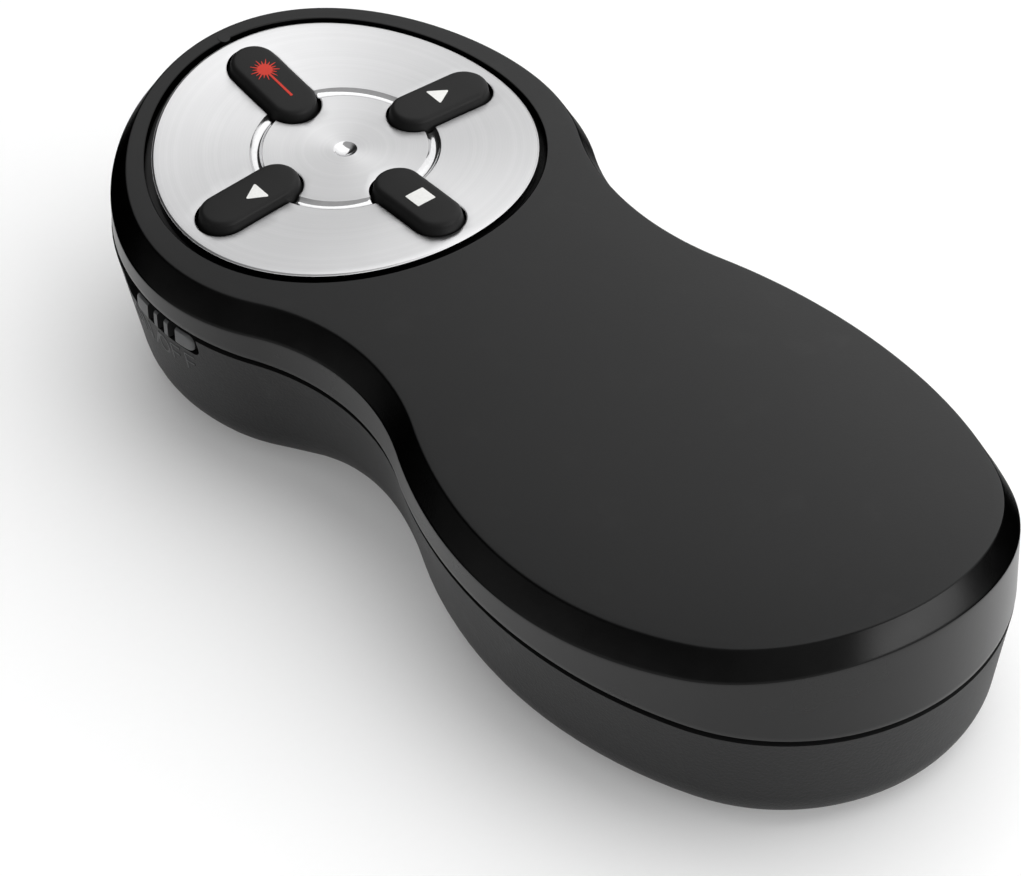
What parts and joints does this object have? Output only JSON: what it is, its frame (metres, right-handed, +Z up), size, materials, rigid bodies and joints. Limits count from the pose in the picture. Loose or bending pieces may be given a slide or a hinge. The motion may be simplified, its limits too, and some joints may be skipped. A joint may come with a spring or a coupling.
{
  "type": "wireless presentation clicker",
  "caption": "Waisted hand-held presenter remote: black shell, saddle-shaped brushed metal control disc with slot-shaped keys, side power switch, docked receiver",
  "frame": {"origin": "on the resting plane, below the middle of the body's length and width", "axes": "+Z up, +Y towards the front end with the control disc and the laser window, +X to the right as the user holds it"},
  "size_m": [0.0464, 0.1055, 0.0243],
  "materials": {
    "top_shell": "smooth satin black moulded plastic",
    "bottom_shell": "fine-textured soft-touch black plastic",
    "battery_door": "fine-textured black plastic",
    "control_disc": "spun circular-brushed metal, saddle-shaped",
    "button_next": "matte black silicone",
    "button_laser": "matte black silicone",
    "button_previous": "matte black silicone",
    "button_stop": "matte black silicone",
    "plunger_next": "ivory plastic",
    "plunger_laser": "ivory plastic",
    "plunger_previous": "ivory plastic",
    "plunger_stop": "ivory plastic",
    "key_switches": "black switch housings",
    "main_board": "green solder-masked board",
    "controller_chip": "black moulded chip",
    "radio_chip": "black moulded chip",
    "crystal": "metal can",
    "status_led": "surface-mount light",
    "light_guide": "smoked clear light guide",
    "switch_lever": "black plastic",
    "switch_knob": "dark grey plastic",
    "slide_switch": "folded metal switch body",
    "laser_barrel": "turned brass",
    "laser_lens": "clear lens",
    "laser_window": "dark red tinted pane",
    "housing_screws": "blackened steel",
    "cell_left": "plain grey wrapped cell",
    "cell_right": "plain grey wrapped cell",
    "rear_contact": "nickel-plated strip",
    "front_contacts": "nickel-plated plates",
    "contact_springs": "nickel-plated wire",
    "receiver_housing": "black plastic",
    "receiver_plug": "folded plated plug",
    "receiver_tongue": "white plastic tongue"
  },
  "bodies": {
    "housing": {"top_shell": "top_shell", "bottom_shell": "bottom_shell", "control_disc": "control_disc", "key_switches": "key_switches", "main_board": "main_board", "controller_chip": "controller_chip", "radio_chip": "radio_chip", "crystal": "crystal", "status_led": "status_led", "light_guide": "light_guide", "slide_switch": "slide_switch", "laser_barrel": "laser_barrel", "laser_lens": "laser_lens", "laser_window": "laser_window", "housing_screws": "housing_screws", "cell_left": "cell_left", "cell_right": "cell_right", "rear_contact": "rear_contact", "front_contacts": "front_contacts", "contact_springs": "contact_springs"},
    "key_next": {"button_next": "button_next", "plunger_next": "plunger_next"},
    "key_laser": {"button_laser": "button_laser", "plunger_laser": "plunger_laser"},
    "key_previous": {"button_previous": "button_previous", "plunger_previous": "plunger_previous"},
    "key_stop": {"button_stop": "button_stop", "plunger_stop": "plunger_stop"},
    "power_switch": {"switch_knob": "switch_knob", "switch_lever": "switch_lever"},
    "door": {"battery_door": "battery_door"},
    "receiver": {"receiver_housing": "receiver_housing", "receiver_plug": "receiver_plug", "receiver_tongue": "receiver_tongue"}
  },
  "joints": [
    {"name": "press_next", "type": "slide", "parent": "housing", "child": "key_next", "axis": [0, 0, -1], "range_m": [0, 0.0004], "stiffness_N_per_m": 900, "springref_m": -0.0006},
    {"name": "press_laser", "type": "slide", "parent": "housing", "child": "key_laser", "axis": [0, 0, -1], "range_m": [0, 0.0004], "stiffness_N_per_m": 900, "springref_m": -0.0006},
    {"name": "press_previous", "type": "slide", "parent": "housing", "child": "key_previous", "axis": [0, 0, -1], "range_m": [0, 0.0004], "stiffness_N_per_m": 900, "springref_m": -0.0006},
    {"name": "press_stop", "type": "slide", "parent": "housing", "child": "key_stop", "axis": [0, 0, -1], "range_m": [0, 0.0004], "stiffness_N_per_m": 900, "springref_m": -0.0006},
    {"name": "switch_slide", "type": "slide", "parent": "housing", "child": "power_switch", "axis": [0, 1, 0], "range_m": [0, 0.0024]},
    {"name": "door_lift_off", "type": "slide", "parent": "housing", "child": "door", "axis": [0, 0, -1], "range_m": [0, 0.03]},
    {"name": "receiver_pull_out", "type": "slide", "parent": "housing", "child": "receiver", "axis": [0, 0, -1], "range_m": [0, 0.02]}
  ]
}
